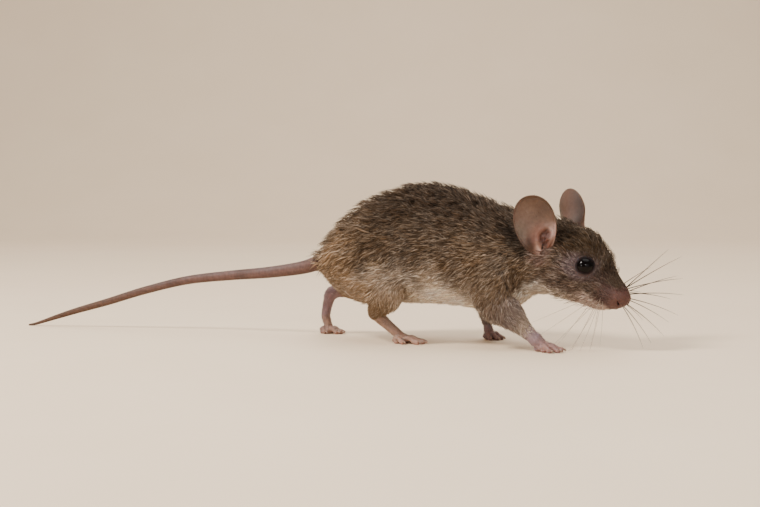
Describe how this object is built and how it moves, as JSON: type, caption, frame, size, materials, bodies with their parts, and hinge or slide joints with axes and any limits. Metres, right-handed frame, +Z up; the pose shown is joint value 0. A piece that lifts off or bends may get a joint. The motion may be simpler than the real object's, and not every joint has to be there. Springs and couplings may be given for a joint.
{
  "type": "house mouse",
  "caption": "Life-size still model of a house mouse walking, head low and turned a little, ears up, tail trailing to the floor.",
  "frame": {"origin": "on the floor under the middle of the bounding box", "axes": "+X the way the mouse heads, +Y its left side, +Z up"},
  "size_m": [0.1528, 0.0262, 0.0358],
  "materials": {
    "coat_body": "short brown-grey fur, paler to cream below",
    "coat_head": "short brown-grey fur, fine on the face",
    "skin_nose": "bare moist pink skin",
    "skin_foot": "bare pink skin",
    "skin_ear": "thin brownish-pink skin",
    "skin_tail": "ringed brownish-pink skin",
    "eye": "wet black"
  },
  "bodies": {
    "root": {"trunk": "coat_body", "neck": "coat_body", "head": "coat_head", "nose": "skin_nose", "ear_right": "skin_ear", "ear_left": "skin_ear", "eye_right": "eye", "eye_left": "eye", "fore_leg_right": "coat_body", "fore_foot_right": "skin_foot", "fore_leg_left": "coat_body", "fore_foot_left": "skin_foot", "hind_leg_right": "coat_body", "hind_foot_right": "skin_foot", "hind_leg_left": "coat_body", "hind_foot_left": "skin_foot", "tail_base": "skin_tail", "tail_middle": "skin_tail", "tail_end": "skin_tail", "tail_tip": "skin_tail"}
  },
  "joints": []
}
